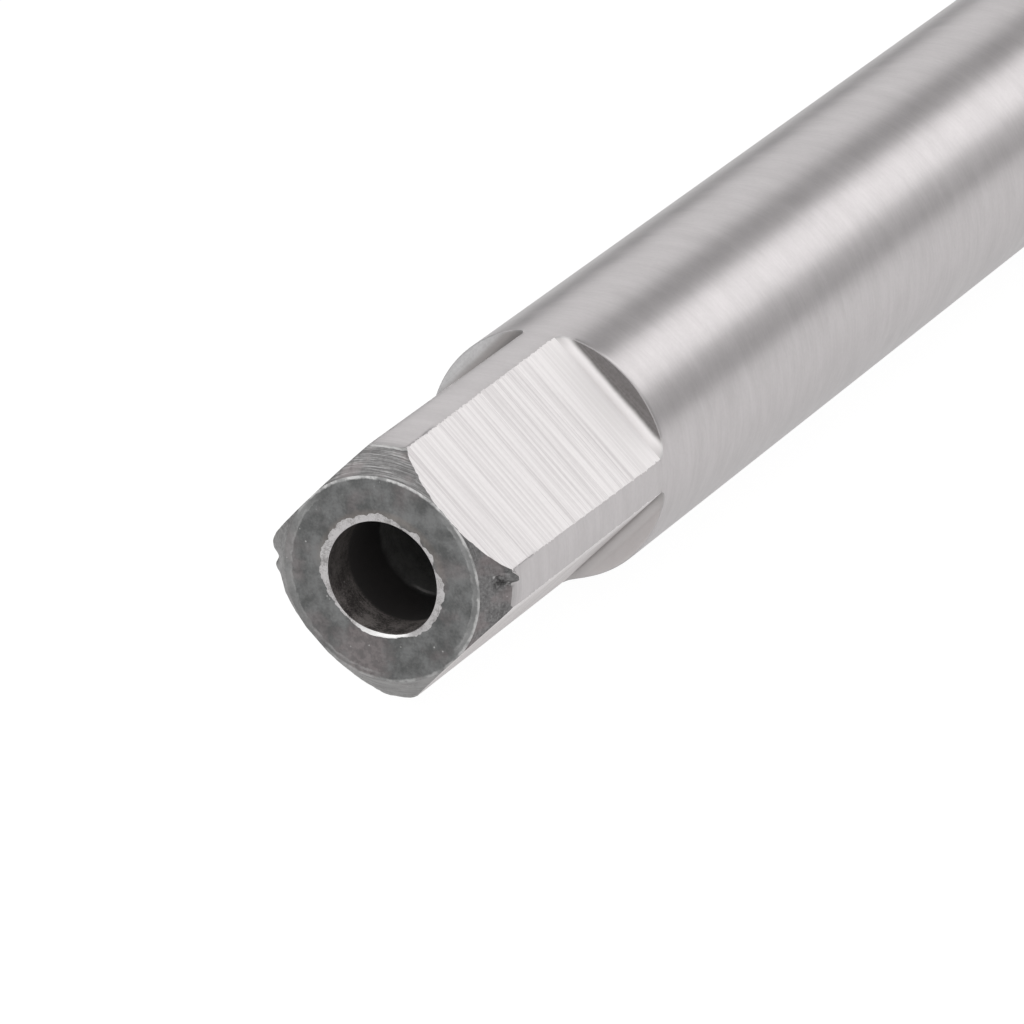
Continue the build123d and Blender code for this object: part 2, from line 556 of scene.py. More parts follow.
@dataclass(frozen=True)
class FluteForm:
    """The form that the flute's milling cutter leaves, seen across the axis, and its run-out."""

    thread_radius: float = 3.97
    land_width: float = 2.2
    core_radius: float = 1.85
    bottom_radius: float = 1.1
    rake: float = 8.0
    cutter_radius: float = 30.0
    runout_start: float = 46.4
    longest_runout: float = 15.0
    points: int = 420
    arc_points: tuple[int, int, int] = (160, 90, 70)

    def outline(self) -> Array:
        """The flute's outline with its middle on the second axis.

        Returns:
            Points from the heel of one land to the cutting edge of the next, evenly spaced.
        """
        half = math.pi / 4 - math.asin(self.land_width / 2 / self.thread_radius)
        lean = half - math.radians(self.rake)
        edge = Vector((math.sin(half), math.cos(half))) * self.thread_radius
        heel = Vector((-edge.x, edge.y))
        centre_y = self.core_radius + self.bottom_radius
        lift = (centre_y - edge.y) * math.sin(lean)
        centre_x = edge.x - (self.bottom_radius - lift) / math.cos(lean)
        bottom = Vector((centre_x, self.core_radius))
        rise = heel.y - bottom.y
        heel_radius = ((heel.x - bottom.x) ** 2 + rise**2) / (2 * rise)
        heel_turn = math.asin((bottom.x - heel.x) / heel_radius)
        if rise > heel_radius:
            heel_turn = math.pi - heel_turn
        points = []
        heel_points, bottom_points, face_points = self.arc_points
        for turn in np.linspace(heel_turn, 0, heel_points)[:-1]:
            height = bottom.y + heel_radius * (1 - math.cos(turn))
            points.append((bottom.x - heel_radius * math.sin(turn), height))
        for turn in np.linspace(-QUARTER, -lean, bottom_points):
            height = centre_y + self.bottom_radius * math.sin(turn)
            points.append((centre_x + self.bottom_radius * math.cos(turn), height))
        foot = Vector(points.pop())
        for step in np.linspace(0, 1, face_points):
            points.append(tuple(foot + (edge - foot) * step))
        line = np.array(points)
        length = np.concatenate([[0], np.cumsum(np.linalg.norm(np.diff(line, axis=0), axis=1))])
        even = np.linspace(0, length[-1], self.points)
        return rows(np.interp(even, length, line[:, 0]), np.interp(even, length, line[:, 1]))

    def lifted(self, along: float) -> Array:
        """The outline where the cutter has begun to leave the body.

        Args:
            along: Distance from the square's end face.

        Returns:
            The outline's points there.
        """
        line = self.outline()
        back = max(self.runout_start - along, 0.0)
        height = self.cutter_radius - np.sqrt((self.cutter_radius - line[:, 1]) ** 2 - back**2)
        return rows(line[:, 0], height)

    def apex(self, radius: float) -> float:
        """Where the flute's run-out ends on a plain bar of this radius.

        Args:
            radius: The bar's radius.

        Returns:
            The distance of that place from the end face.
        """
        low, high = self.runout_start - self.longest_runout, self.runout_start
        for _ in range(50):
            middle = (low + high) / 2
            line = self.lifted(middle)
            if np.hypot(line[:, 0], line[:, 1]).min() < radius:
                high = middle
            else:
                low = middle
        return high

    def opening(self, line: Array, heel_radius: float, edge_radius: float) -> Pair:
        """Where an outline crosses the body on both sides.

        Args:
            line: The outline's points.
            heel_radius: The body's radius at the heel.
            edge_radius: The body's radius at the cutting edge.

        Returns:
            Both places, counted in points along the outline. They are equal where it doesn't cut.
        """
        radius = np.hypot(line[:, 0], line[:, 1])
        low = int(radius.argmin())
        places = np.arange(len(line), dtype=float)
        if radius[low] >= min(heel_radius, edge_radius) - 1e-7:
            return float(low), float(low)
        first = np.interp(heel_radius, radius[: low + 1][::-1], places[: low + 1][::-1])
        last = np.interp(edge_radius, radius[low:], places[low:])
        return float(first), float(last)


@dataclass
class CuttingEnd:
    """The plain shank behind the square, the flute run-outs, the thread with its lead and the point."""

    shank_radius: float = 3.15
    thread_radius: float = 3.97
    root_radius: float = 3.483
    root_width: float = 0.1
    pitch: float = 0.794
    thread_start: float = 48.4
    thread_end: float = 70.4
    back_chamfer: float = 0.8
    lead_length: float = 4.0
    lead_end_radius: float = 3.2
    lead_relief: float = 0.05
    point_base_radius: float = 1.7
    point_tip_radius: float = 0.4
    fine_columns: Columns = (32, 24)
    thread_columns: Columns = (8, 20)
    rows_a_pitch: int = 12
    shank_rings: int = 13
    runout_rings: int = 34
    point_columns: int = 48
    point_rings: int = 9
    crest_break: float = 0.006
    tip_break: Pair = (0.04, 0.03)
    smooth_start: float = 9.4
    row_places: tuple[float, ...] = (
        -0.05, 0.05, 0.14, 0.23, 0.316, 0.346, 0.397, 0.448, 0.478, 0.564, 0.654, 0.704,
    )
    form: FluteForm = field(default_factory=FluteForm)

    def ring(self, line: Array, land_radius: Array, land_along: Array, flute_columns: int) -> Array:
        """One ring round the lands and flutes.

        Args:
            line: The flute's outline there.
            land_radius: For each land, the radius at each of its columns.
            land_along: For each land, the distance of each of its columns from the end face.
            flute_columns: The number of faces across a flute.

        Returns:
            The ring's points, from the first land's cutting edge.
        """
        openings = []
        for flute in range(4):
            heel = land_radius[flute - 1][-1]
            edge = land_radius[flute][0]
            openings.append(self.form.opening(line, heel, edge))
        places = np.arange(len(line), dtype=float)
        steps = np.linspace(0, 1, flute_columns + 1)[1:-1]
        points = []
        for land in range(4):
            following = (land + 1) % 4
            first, last = openings[following]
            begin = land * QUARTER + self.turned(line, openings[land][1])
            finish = (land + 1) * QUARTER + self.turned(line, first)
            angle = np.linspace(begin, finish, land_radius.shape[1])
            points.append(polar(land_radius[land], angle, land_along[land]))
            along = land_along[land][-1] + (land_along[following][0] - land_along[land][-1]) * steps
            if last - first < 1e-9:
                points.append(polar(land_radius[land][-1], np.full_like(steps, finish), along))
                continue
            where = first + (last - first) * steps
            across = np.interp(where, places, line[:, 0])
            height = np.interp(where, places, line[:, 1])
            turn = following * QUARTER
            points.append(rows(
                height * math.cos(turn) - across * math.sin(turn),
                along,
                height * math.sin(turn) + across * math.cos(turn),
            ))
        return np.concatenate(points)

    def turned(self, line: Array, place: float) -> float:
        """The angle from the flute's middle of a place on its outline."""
        places = np.arange(len(line), dtype=float)
        return math.atan2(np.interp(place, places, line[:, 0]), np.interp(place, places, line[:, 1]))

    def plain_ring(self, line: Array, along: float, columns: Columns) -> Array:
        """One flat ring round the plain shank and the flutes in it."""
        shape = (4, columns[0] + 1)
        return self.ring(line, np.full(shape, self.shank_radius), np.full(shape, along), columns[1])

    def ring_keys(self, columns: Columns) -> Array:
        """Places of a ring's points round it, from 0 to 1, with every land and flute an eighth.

        Args:
            columns: The faces across a land and across a flute.

        Returns:
            The places, rising.
        """
        land = np.linspace(0, 0.5, columns[0] + 1)
        flute = 0.5 + np.linspace(0, 0.5, columns[1] + 1)[1:-1]
        quadrant = np.concatenate([land, flute])
        return np.concatenate([(quadrant + k) / 4 for k in range(4)])

    def ring_surfaces(self, land: Surface, columns: Columns) -> Array:
        """The finish of each column's faces: a land, then a flute."""
        return np.array(([land.value] * columns[0] + [Surface.FLUTE.value] * columns[1]) * 4)

    def body_radius(self, along: Array, share: Array, phase: Array) -> Array:
        """The radius of the threaded body.

        Args:
            along: Distances from the square's end face.
            share: How far across the land each point is, from its cutting edge at 0 to its heel at 1.
            phase: The distance of each point from the nearest groove's middle.

        Returns:
            The radii.
        """
        rise = np.clip((along - self.thread_start) / self.back_chamfer, 0, 1)
        back = self.shank_radius + (self.thread_radius - self.shank_radius) * rise
        into = np.clip((along - self.thread_end + self.lead_length) / self.lead_length, 0, 1)
        lead = self.thread_radius - (self.thread_radius - self.lead_end_radius) * into
        lead = lead - self.lead_relief * share * np.clip(into * 4, 0, 1)
        flank = self.root_radius + np.maximum(phase - self.root_width / 2, 0) * math.sqrt(3)
        tooth = soft_least(flank, self.thread_radius, self.crest_break)
        return np.minimum(np.minimum(back, lead), tooth)

    def thread_ring(self, line: Array, row: int) -> Array:
        """One ring of the thread, along its helix on every land.

        Args:
            line: The flute's outline.
            row: The ring's number, counted from the start of the thread.

        Returns:
            The ring's points.
        """
        share = np.linspace(0, 1, self.thread_columns[0] + 1)
        land_turn = 2 * math.asin(self.form.land_width / 2 / self.thread_radius)
        slant = -(share - 0.5) * land_turn / TURN * self.pitch
        radius = []
        along = []
        for land in range(4):
            behind = (2 - land) % 4
            step = row - behind * self.rows_a_pitch // 4
            turns, place = divmod(step, self.rows_a_pitch)
            offset = self.thread_start + self.pitch * behind / 4 + slant
            here = np.minimum(offset + self.pitch * turns + self.row_places[place], self.thread_end)
            phase = np.mod(here - offset, self.pitch)
            phase = np.minimum(phase, self.pitch - phase)
            along.append(here)
            radius.append(self.body_radius(here, share, phase))
        return self.ring(line, np.array(radius), np.array(along), self.thread_columns[1])

    def build(self, skin: Skin, angles: Array) -> None:
        """Carries the skin on from the shoulders to the tip of the point.

        Args:
            skin: The skin, with its last ring just past the shoulders.
            angles: The angles of that ring's points.
        """
        apex = self.form.apex(self.shank_radius)
        closed = self.form.lifted(apex)
        start = self.plain_ring(closed, self.smooth_start, self.fine_columns)
        start_angles = np.unwrap(np.arctan2(start[:, 2], start[:, 0]))
        shift = int(np.argmax(angles >= start_angles[0]))
        skin.last = np.roll(skin.last, -shift)
        last_keys = np.mod(np.roll(angles, -shift) - start_angles[0], TURN) / TURN
        skin.zip_to(start, Surface.GROUND_SHANK, last_keys, ring_places(start_angles))
        surfaces = self.ring_surfaces(Surface.GROUND_SHANK, self.fine_columns)
        shank = [(along, closed) for along in np.linspace(self.smooth_start, apex, self.shank_rings)[1:]]
        places = apex + (self.form.runout_start - apex) * np.linspace(0, 1, self.runout_rings)[1:] ** 1.6
        for along, line in (*shank, *((place, self.form.lifted(place)) for place in places)):
            skin.add(self.plain_ring(line, along, self.fine_columns), surfaces)
        line = self.form.outline()
        ring = self.plain_ring(line, self.form.runout_start + 0.8, self.thread_columns)
        surfaces = self.ring_surfaces(Surface.GROUND_SHANK, self.thread_columns)
        skin.zip_to(ring, surfaces, self.ring_keys(self.fine_columns), self.ring_keys(self.thread_columns))
        surfaces = self.ring_surfaces(Surface.THREAD, self.thread_columns)
        last_row = int((self.thread_end - self.thread_start) / self.pitch * self.rows_a_pitch) + 12
        for row in range(-4, last_row):
            skin.add(self.thread_ring(line, row), surfaces)
        self.build_point(skin)

    def build_point(self, skin: Skin) -> None:
        """Lays the flat front face and the male centre point.

        Args:
            skin: The skin, with its last ring at the end of the thread.
        """
        outer = skin.points[-1]
        angle = np.linspace(0, TURN, self.point_columns + 1)[:-1]
        inner = polar(self.point_base_radius, angle, self.thread_end)
        numbers = np.concatenate([skin.last, skin.lay(inner)])
        loops = [[Vector((p[0], p[2], 0)) for p in loop] for loop in (outer, inner)]
        for corners in tessellate_polygon(loops):
            skin.face(tuple(numbers[corner] for corner in corners), Surface.TURNED_POINT, 0)
        skin.last = numbers[len(outer):]
        base, tip = self.point_base_radius, self.point_tip_radius
        back, out = self.tip_break
        for share in np.linspace(0, 1, self.point_rings)[1:]:
            along = self.thread_end + (OVERALL_LENGTH - back - self.thread_end) * share
            skin.add(polar(base + (tip + out - base) * share, angle, along), Surface.TURNED_POINT)
        skin.add(polar(tip - 0.02, angle, OVERALL_LENGTH), Surface.TURNED_POINT)
        skin.add(np.array([(0, OVERALL_LENGTH, 0)]), Surface.TURNED_POINT)


def sum_method(operation: str) -> Callable[["Signal", "Signal | float"], "Signal"]:
    """A method that joins a signal and another value in one sum.

    Args:
        operation: The sum's name.

    Returns:
        The method.
    """

    def method(signal: "Signal", other: "Signal | float") -> "Signal":
        """The sum of both."""
        return signal.wiring.math(operation, signal, other)

    return method


class Signal:
    """A node's output, with which sums can be written as they are on paper."""

    def __init__(self, wiring: "Wiring", socket: bpy.types.NodeSocket) -> None:
        """Keeps the output and the tree that it is in."""
        self.wiring = wiring
        self.socket = socket

    # The larger of two values is most, and the smaller is least.
    __add__ = sum_method("ADD")
    __sub__ = sum_method("SUBTRACT")
    __mul__ = sum_method("MULTIPLY")
    __truediv__ = sum_method("DIVIDE")
    most = sum_method("MAXIMUM")
    least = sum_method("MINIMUM")

    def __rsub__(self, other: float) -> "Signal":
        """A number less this."""
        return self.wiring.math("SUBTRACT", other, self)

    def __abs__(self) -> "Signal":
        """This without its sign."""
        return self.wiring.math("ABSOLUTE", self)

    def swing(self, size: float) -> "Signal":
        """A noise round one half turned into a swing of this size round zero."""
        return (self - 0.5) * size

    def stretch(self, low: float, high: float, to_low: float = 0.0, to_high: float = 1.0) -> "Signal":
        """This moved smoothly from one range to another, and kept inside it."""
        inputs = {"Value": self, "From Min": low, "From Max": high, "To Min": to_low, "To Max": to_high}
        return self.wiring.result("MapRange", 0, inputs, interpolation_type="SMOOTHSTEP")


class Wiring:
    """Puts nodes into one tree and joins them."""

    def __init__(self, tree: bpy.types.NodeTree) -> None:
        """Keeps the tree."""
        self.tree = tree

    def put(self, kind: str, inputs: dict | None = None, **settings: object) -> bpy.types.Node:
        """Adds a node.

        Args:
            kind: The node's type, without its leading word.
            inputs: For each input's name or number, an output to join or a value to set.
            settings: The node's own settings.

        Returns:
            The new node.
        """
        node = self.tree.nodes.new("ShaderNode" + kind)
        for name, value in settings.items():
            setattr(node, name, value)
        for name, value in (inputs or {}).items():
            self.feed(node.inputs[name], value)
        return node

    def feed(self, socket: bpy.types.NodeSocket, value: object) -> None:
        """Joins an output to the input, or sets the input's value.

        Args:
            socket: The input.
            value: An output or a plain value.
        """
        if isinstance(value, Signal):
            self.tree.links.new(value.socket, socket)
        else:
            socket.default_value = value

    def result(
        self, kind: str, output: int | str, inputs: dict | None = None, **settings: object
    ) -> Signal:
        """One output of a new node."""
        return Signal(self, self.put(kind, inputs, **settings).outputs[output])

    def outputs(self, kind: str, inputs: dict | None = None, **settings: object) -> dict[str, Signal]:
        """Every output of a new node, by name."""
        node = self.put(kind, inputs, **settings)
        return {socket.name: Signal(self, socket) for socket in node.outputs}

    def math(self, operation: str, *values: object) -> Signal:
        """The result of one sum on one, two or three values."""
        return self.result("Math", 0, dict(enumerate(values)), operation=operation)

    def vector(self, operation: str, *values: object) -> Signal:
        """The vector result of one sum on vectors."""
        return self.result("VectorMath", 0, dict(enumerate(values)), operation=operation)

    def scaled(self, vector: Signal, scale: Signal) -> Signal:
        """A vector made longer or shorter."""
        return self.result("VectorMath", 0, {0: vector, "Scale": scale}, operation="SCALE")

    def blend(self, factor: Signal, first: object, second: object) -> Signal:
        """A colour between two, as the factor says."""
        return self.result("Mix", 2, {0: factor, 6: first, 7: second}, data_type="RGBA")

    def noise(self, vector: Signal, scale: float, detail: float = 2.0, rough: float = 0.5) -> Signal:
        """The value of a noise texture at a place."""
        inputs = {"Vector": vector, "Scale": scale, "Detail": detail, "Roughness": rough}
        return self.result("TexNoise", 0, inputs)


class SharedGroup(Wiring):
    """A shader node group in the making, with named inputs and outputs."""

    def __init__(self, name: str, **inputs: str) -> None:
        """Makes the group with its inputs.

        Args:
            name: The group's name.
            inputs: For each input, its kind of socket.
        """
        super().__init__(bpy.data.node_groups.new(name, "ShaderNodeTree"))
        for label, kind in inputs.items():
            self.tree.interface.new_socket(label, in_out="INPUT", socket_type="NodeSocket" + kind)
        source = self.tree.nodes.new("NodeGroupInput")
        self.given = {label: Signal(self, source.outputs[label]) for label in inputs}

    def give(self, **outputs: Signal) -> bpy.types.NodeTree:
        """Makes the group's outputs and ends it.

        Args:
            outputs: For each output's name, what it gives.

        Returns:
            The group.
        """
        kinds = {"VECTOR": "NodeSocketVector", "VALUE": "NodeSocketFloat"}
        for label, value in outputs.items():
            self.tree.interface.new_socket(label, in_out="OUTPUT", socket_type=kinds[value.socket.type])
        sink = self.tree.nodes.new("NodeGroupOutput")
        for label, value in outputs.items():
            self.feed(sink.inputs[label], value)
        return self.tree


class ToolMarks:
    """The shader node groups that the tap's finishes share."""

    def __init__(self) -> None:
        """Builds every group once."""
        self.place = self.place_group()
        self.lines = self.lines_group()
        self.mottle = self.mottle_group()
        self.rim = self.rim_group()

    def place_group(self) -> bpy.types.NodeTree:
        """Where a point is on the tap, in millimetres from the end face and out from the axis or flats.

        Returns:
            The group.
        """
        group = SharedGroup("tap_place", Position="Vector")
        place = group.vector("MULTIPLY", group.given["Position"], (1 / MM, 1 / MM, 1 / MM))
        place = group.vector("ADD", place, (0, OVERALL_LENGTH / 2, -AXIS_HEIGHT))
        parts = group.outputs("SeparateXYZ", {0: place})
        radius = group.math("SQRT", parts["X"] * parts["X"] + parts["Z"] * parts["Z"])
        safe = radius.most(0.01)
        return group.give(
            Place=place,
            Along=parts["Y"],
            Radius=radius,
            Up=parts["Z"] / safe,
            Right=parts["X"] / safe,
            Square=(abs(parts["X"]) + abs(parts["Z"])) * math.sqrt(0.5),
        )

    def lines_group(self) -> bpy.types.NodeTree:
        """Fine lines that a wheel or cutter leaves, close together one way and long the other.

        Returns:
            The group.
        """
        group = SharedGroup("tool_lines", Place="Vector", Travel="Float", Fineness="Float", Drift="Float")
        parts = group.outputs("SeparateXYZ", {0: group.scaled(group.given["Place"], group.given["Drift"])})
        travel = group.given["Travel"] * group.given["Fineness"]
        where = group.result("CombineXYZ", 0, {0: parts["X"], 1: travel, 2: parts["Z"]})
        broad = group.vector("MULTIPLY", where, (1, 0.23, 1))
        return group.give(Fine=group.noise(where, 1, 3, 0.65), Broad=group.noise(broad, 1))

    def mottle_group(self) -> bpy.types.NodeTree:
        """Cloudy patches, fine grain and scattered specks of a worked surface.

        Returns:
            The group.
        """
        group = SharedGroup("mottle", Place="Vector", Size="Float")
        where = group.scaled(group.given["Place"], group.given["Size"])
        spot = group.result("TexVoronoi", "Distance", {"Vector": where, "Scale": 3.2, "Randomness": 1})
        rare = group.noise(where, 2.3, 1).stretch(0.56, 0.66)
        return group.give(
            Cloud=group.noise(where, 1, 4, 0.6),
            Grain=group.noise(where, 9, 2, 0.6),
            Speck=spot.stretch(0.06, 0.16, 1, 0) * rare,
        )

    def rim_group(self) -> bpy.types.NodeTree:
        """A ragged line where something, such as the radius, has a given value.

        Returns:
            The group.
        """
        inputs = dict.fromkeys(("Value", "Middle", "Width", "Ragged"), "Float")
        group = SharedGroup("ragged_line", Place="Vector", **inputs)
        shake = (group.noise(group.given["Place"], 4.5, 4, 0.65) - 0.5) * group.given["Ragged"]
        away = abs(group.given["Value"] + shake - group.given["Middle"]) / group.given["Width"]
        return group.give(Line=away.stretch(0.25, 1, 1, 0))


def cleared(owner: bpy.types.Material | bpy.types.World) -> bpy.types.NodeTree:
    """The owner's node tree, switched on and emptied.

    Args:
        owner: A material or the world.

    Returns:
        Its tree, with no node in it.
    """
    owner.use_nodes = True
    owner.node_tree.nodes.clear()
    return owner.node_tree


class Coat(Wiring):
    """One of the tap's materials in the making: its nodes, its shader and where each point is."""

    def __init__(self, name: str, marks: ToolMarks) -> None:
        """Starts a material of bare metal.

        Args:
            name: The material's name.
            marks: The shared shader groups.
        """
        self.material = bpy.data.materials.new(name)
        super().__init__(cleared(self.material))
        self.marks = marks
        place = self.outputs_of(marks.place, Position=self.result("TexCoord", "Object"))
        self.place, self.along, self.radius = place["Place"], place["Along"], place["Radius"]
        self.up, self.right, self.square = place["Up"], place["Right"], place["Square"]
        self.shader = self.put("BsdfPrincipled", {"Metallic": 1})
        self.put("OutputMaterial", {"Surface": Signal(self, self.shader.outputs[0])})

    def outputs_of(self, group: bpy.types.NodeTree, **inputs: object) -> dict[str, Signal]:
        """The outputs of a shared group, placed with these inputs."""
        return self.outputs("Group", inputs, node_tree=group)

    def lines(self, travel: Signal, fineness: float, drift: float) -> dict[str, Signal]:
        """Tool lines close together along the travel: fine ones and broad ones."""
        settings = {"Travel": travel, "Fineness": fineness, "Drift": drift}
        return self.outputs_of(self.marks.lines, Place=self.place, **settings)

    def mottle(self, size: float) -> dict[str, Signal]:
        """Cloud, grain and specks, smaller as the size goes up."""
        return self.outputs_of(self.marks.mottle, Place=self.place, Size=size)

    def rim(self, value: Signal, middle: float, width: float, ragged: float) -> Signal:
        """A ragged line where the value is at its middle."""
        settings = {"Value": value, "Middle": middle, "Width": width, "Ragged": ragged}
        return self.outputs_of(self.marks.rim, Place=self.place, **settings)["Line"]

    def near(self, centre: Point) -> Signal:
        """How far each point is from a place on the tap."""
        return self.result("VectorMath", "Value", {0: self.place, 1: centre}, operation="DISTANCE")

    def corner_rag(self) -> Signal:
        """How far the cutter's lines push the long corner of a flat to and fro."""
        return self.lines(self.along, *CUTTER_LINES)["Fine"].swing(0.11)

    def set(self, name: str, value: object) -> None:
        """Sets or feeds one of the shader's inputs."""
        self.feed(self.shader.inputs[name], value)

    def finish(self, colour: Signal, roughness: Signal, height: Signal, depth: float) -> None:
        """Feeds the shader's colour, roughness and normal.

        Args:
            colour: The surface's colour.
            roughness: How rough it is.
            height: The height of its fine marks, from 0 to 1.
            depth: How deep those marks are, in millimetres.
        """
        self.set("Base Color", colour)
        self.set("Roughness", roughness)
        bump = {"Height": height, "Strength": 1, "Distance": depth * MM}
        self.set("Normal", self.result("Bump", 0, bump))


@dataclass(frozen=True)
class Finish:
    """A worked metal surface: what every finish on the tap shares."""

    name: str

    def material(self, marks: ToolMarks) -> bpy.types.Material:
        """The finish's material, made with the shared shader groups.

        Args:
            marks: The shared shader groups.

        Returns:
            The material.
        """
        coat = Coat(self.name, marks)
        self.dress(coat)
        return coat.material

    def dress(self, coat: Coat) -> None:
        """Feeds the shader. Each finish has its own way."""
        raise NotImplementedError


@dataclass(frozen=True)
class GroundSteel(Finish):
    """Steel ground all round, with a satin grain."""

    dark: Shade = (0.548, 0.523, 0.526, 1)
    light: Shade = (0.618, 0.59, 0.594, 1)
    front: Shade = (0.36, 0.345, 0.345, 1)
    torn: Shade = (0.95, 0.915, 0.912, 1)
    fineness: float = 9.0
    drift: float = 0.9
    roughness: Pair = (0.28, 0.315)
    depth: float = 0.0012
    edge_tint: Shade = (0.84, 0.84, 0.84, 1)

    def dress(self, coat: Coat) -> None:
        """Feeds the shader from grinding lines round the tap, a fine grain and the flats' torn corners.

        Args:
            coat: The material in the making.
        """
        lines = coat.lines(coat.along, self.fineness, self.drift)
        mottle = coat.mottle(1.1)
        mixed = lines["Broad"] * 0.4 + (mottle["Grain"] * 0.25 + lines["Fine"] * 0.35)
        front = (coat.along + lines["Fine"].swing(0.8)).stretch(0.45, 1.15, 0.6, 0)
        tooth = (coat.square + coat.corner_rag()).stretch(*FLAT_CORNER, 0, 0.85)
        tooth = tooth * coat.along.stretch(8.1, 8.3, 1, 0)
        colour = coat.blend(mixed.stretch(0.32, 0.68), self.dark, self.light)
        colour = coat.blend(front, colour, self.front)
        colour = coat.blend(tooth, colour, self.torn)
        coat.set("Specular Tint", self.edge_tint)
        coat.finish(colour, mottle["Cloud"].stretch(0.3, 0.7, *self.roughness), mixed, self.depth)


@dataclass(frozen=True)
class MilledSteel(Finish):
    """A flat milled straight across, with the cutter's lines in it."""

    dark: Shade = (0.56, 0.524, 0.53, 1)
    # Painted light and shade: the flats facing up are near white and paler still near the root, and the
    # flats facing down are darker.
    light: Shade = (0.985, 0.95, 0.948, 1)
    painted_light_near_root: Shade = (1.0, 0.965, 0.962, 1)
    lower: Shade = (0.7, 0.668, 0.664, 1)
    lower_dark: Shade = (0.42, 0.398, 0.396, 1)
    painted_light_places: Pair = (6.2, 8.0)
    corner_radii: Pair = (3.106, 3.15)

    def dress(self, coat: Coat) -> None:
        """Feeds the shader from the cutter's lines, a few of them deeper, and its ragged corners, with
        painted light and shade on the flats.

        Args:
            coat: The material in the making.
        """
        lines = coat.lines(coat.along, *CUTTER_LINES)
        grain = coat.mottle(1.3)["Grain"]
        groove = coat.lines(coat.along, 19, 0.17)["Fine"].stretch(0.6, 0.7, 0, 0.6)
        dark = lines["Fine"].stretch(0.36, 0.66) * lines["Broad"].stretch(0.38, 0.64, 0.3, 0.56)
        dark = dark.most(groove) + grain.swing(0.2) + lines["Broad"].swing(0.25)
        dark = dark * coat.along.stretch(6.8, 7.6, 1, 0.4)
        corner = coat.radius - coat.along.stretch(0, SQUARE_LENGTH, *self.corner_radii) - coat.corner_rag()
        dark = dark.most(corner.stretch(-0.008, 0.002, 0, 0.85))
        # Painted light near the root, where the wall shades the flat, and painted shade on the flats facing
        # down: a lit and a shaded copy of one milled steel.
        painted_light_near_root = coat.along.stretch(*self.painted_light_places)
        below = coat.up.stretch(-0.5, -0.1, 1, 0)
        upper = coat.blend(dark, coat.blend(painted_light_near_root, self.light, self.painted_light_near_root), self.dark)
        lower = coat.blend(dark, self.lower, self.lower_dark)
        coat.set("Metallic", painted_light_near_root.stretch(0, 1, 0.12, 0).most(below))
        coat.finish(coat.blend(below, upper, lower), dark.stretch(0, 1, 0.5, 0.58), 1 - dark, 0.0012)


@dataclass(frozen=True)
class DarkFace(Finish):
    """The sawn and turned end face: dark and mottled, and bright along its rim, partly from wear and partly
    from a painted highlight.
    """

    dark: Shade = (0.137, 0.139, 0.138, 1)
    light: Shade = (0.233, 0.236, 0.235, 1)
    dark_brown: Shade = (0.19, 0.172, 0.172, 1)
    brown: Shade = (0.275, 0.245, 0.245, 1)
    burnt: Shade = (0.34, 0.285, 0.25, 1)
    # Rim colours, partly wear and partly painted highlight; the second one is for the top.
    bright: Shade = (0.55, 0.545, 0.54, 1)
    top_wear_and_highlight: Shade = (0.75, 0.745, 0.74, 1)
    rim_radius: float = 2.51
    inner_rim_radius: float = 2.36
    burnt_radius: float = 1.6
    stain_place: Point = (-0.6, 0.0, -1.95)

    def dress(self, coat: Coat) -> None:
        """Feeds the shader from patches, specks and the bright rim, which is partly wear and partly painted
        highlight.

        Args:
            coat: The material in the making.
        """
        mottle = coat.mottle(1.6)
        cloud = mottle["Cloud"]
        tone = mottle["Grain"] * 0.22 + cloud * 0.78
        colour = coat.blend(tone.stretch(0.36, 0.64), self.dark, self.light)
        near = (coat.near(self.stain_place) + cloud.swing(1.2)).stretch(0.45, 0.9, 0.75, 0)
        stain = coat.noise(coat.place, 1.1, 3).stretch(0.5, 0.66, 0, 0.5).most(near)
        crumbs = coat.noise(coat.place, 6, 3, 0.6).stretch(0.4, 0.6)
        colour = coat.blend(stain, colour, coat.blend(crumbs, self.dark_brown, self.brown))
        burnt = abs(coat.radius - self.burnt_radius).stretch(0.02, 0.16, 0.5, 0)
        burnt = burnt * coat.up.stretch(-0.1, 0.5) * cloud
        colour = coat.blend(burnt, colour, self.burnt)
        # The rim's bright lines are partly wear and partly painted highlight, paler still towards the top.
        worn = self.rims(coat).most(mottle["Speck"] * 0.8)
        bright = coat.blend(coat.up.stretch(0.3, 0.8), self.bright, self.top_wear_and_highlight)
        coat.finish(coat.blend(worn, colour, bright), tone.stretch(0.3, 0.7, 0.62, 0.48), tone, 0.015)

    def rims(self, coat: Coat) -> Signal:
        """How bright each point's rim is, partly wear and partly painted highlight: bright lines above and
        to the right, doubled below right.

        Args:
            coat: The material in the making.

        Returns:
            The brightness from wear and painted highlight, from 0 to 1.
        """
        patchy = coat.noise(coat.place, 2.6, 3, 0.6).stretch(0.38, 0.58, 0.35, 1)
        high = coat.up.stretch(0.3, 0.85).most(coat.right.stretch(0.2, 0.9))
        low = coat.up.stretch(-0.5, -0.95, 0, 0.7).most(0.12)
        outer = coat.rim(coat.radius, self.rim_radius, 0.075, 0.12) * patchy * high.most(low)
        flank = abs(coat.right).stretch(0.55, 0.9)
        below = coat.right.stretch(-0.2, 0.1, 1, 0) * coat.up.stretch(-0.8, -0.4, 1, 0)
        inner = coat.rim(coat.radius, self.inner_rim_radius, 0.05, 0.16) * patchy * (flank + below) * 0.35
        start, stop = self.inner_rim_radius - 0.03, self.inner_rim_radius + 0.03
        band = coat.radius.stretch(start, stop, 0, 0.22) * flank.most(below * 0.3)
        return outer.most(inner.most(band))


